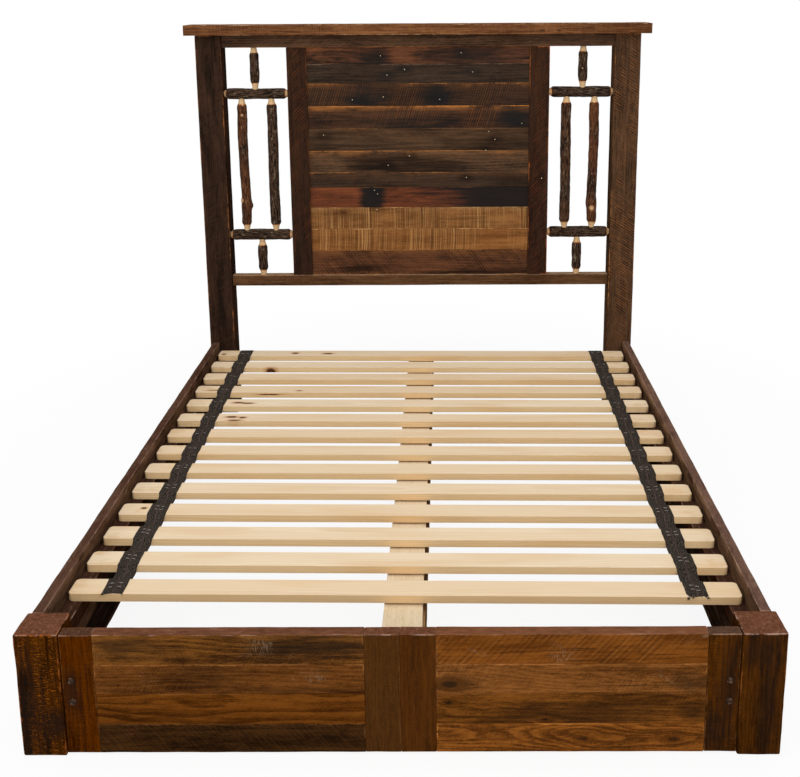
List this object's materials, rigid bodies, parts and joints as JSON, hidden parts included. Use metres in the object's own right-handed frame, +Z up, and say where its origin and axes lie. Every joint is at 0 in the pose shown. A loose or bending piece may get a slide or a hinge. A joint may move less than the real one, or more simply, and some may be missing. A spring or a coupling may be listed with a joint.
{
  "type": "rustic platform bed",
  "caption": "Queen platform bed of reclaimed barn boards, with bark-on hickory stick lattices beside the headboard panel and a loose roll of pine slats on webbing.",
  "frame": {"origin": "middle of the footprint, on the floor", "axes": "+X to the right seen from the foot, +Y from the footboard to the headboard, +Z up"},
  "size_m": [1.702, 2.2214, 1.495],
  "materials": {
    "barn_brown": "reclaimed barn board, saw marks, satin lacquer",
    "barn_dark": "reclaimed barn board, near black, satin lacquer",
    "barn_red": "reclaimed barn board, red brown, satin lacquer",
    "barn_tan": "reclaimed barn board, golden tan, satin lacquer",
    "hickory": "bark on, tenons peeled pale",
    "pine": "planed, unfinished",
    "rough_pine": "rough sawn, unfinished",
    "webbing": "woven strap",
    "dark_steel": "black"
  },
  "bodies": {
    "frame": {"centre_beam_board": "pine", "centre_beam_legs": "rough_pine", "centre_beam_rib": "rough_pine", "corner_angles": "dark_steel", "footboard_board_left_1": "barn_dark", "footboard_board_left_2": "barn_brown", "footboard_board_left_3": "barn_red", "footboard_board_left_4": "barn_dark", "footboard_board_right_1": "barn_red", "footboard_board_right_2": "barn_brown", "footboard_board_right_3": "barn_dark", "footboard_board_right_4": "barn_brown", "footboard_bolt_plank_left": "barn_red", "footboard_bolt_plank_right": "barn_dark", "footboard_bolts": "dark_steel", "footboard_cleat_left": "barn_brown", "footboard_cleat_right": "barn_brown", "footboard_mullion_left": "barn_brown", "footboard_mullion_right": "barn_red", "footboard_post_left": "barn_brown", "footboard_post_right": "barn_brown", "headboard_board_01": "barn_red", "headboard_board_02": "barn_dark", "headboard_board_03": "barn_dark", "headboard_board_04": "barn_brown", "headboard_board_05": "barn_brown", "headboard_board_06": "barn_red", "headboard_board_07": "barn_dark", "headboard_board_08": "barn_dark", "headboard_board_09": "barn_tan", "headboard_board_10": "barn_tan", "headboard_board_11": "barn_brown", "headboard_bottom_rail": "barn_brown", "headboard_cap": "barn_red", "headboard_post_left": "barn_dark", "headboard_post_right": "barn_brown", "headboard_stile_left": "barn_red", "headboard_stile_right": "barn_red", "headboard_top_rail": "barn_brown", "lattice_left_bottom_short": "hickory", "lattice_left_inner_long": "hickory", "lattice_left_lower_cross": "hickory", "lattice_left_outer_long": "hickory", "lattice_left_top_short": "hickory", "lattice_left_upper_cross": "hickory", "lattice_right_bottom_short": "hickory", "lattice_right_inner_long": "hickory", "lattice_right_lower_cross": "hickory", "lattice_right_outer_long": "hickory", "lattice_right_top_short": "hickory", "lattice_right_upper_cross": "hickory", "side_rail_left": "barn_red", "side_rail_right": "barn_red", "slat_ledger_left": "barn_red", "slat_ledger_right": "barn_red"},
    "slat_roll": {"slats": "pine", "strap_left": "webbing", "strap_right": "webbing"}
  },
  "joints": [
    {"name": "slat_roll_lift", "type": "slide", "parent": "frame", "child": "slat_roll", "axis": [0, 0, 1], "range_m": [0, 0.2]}
  ]
}
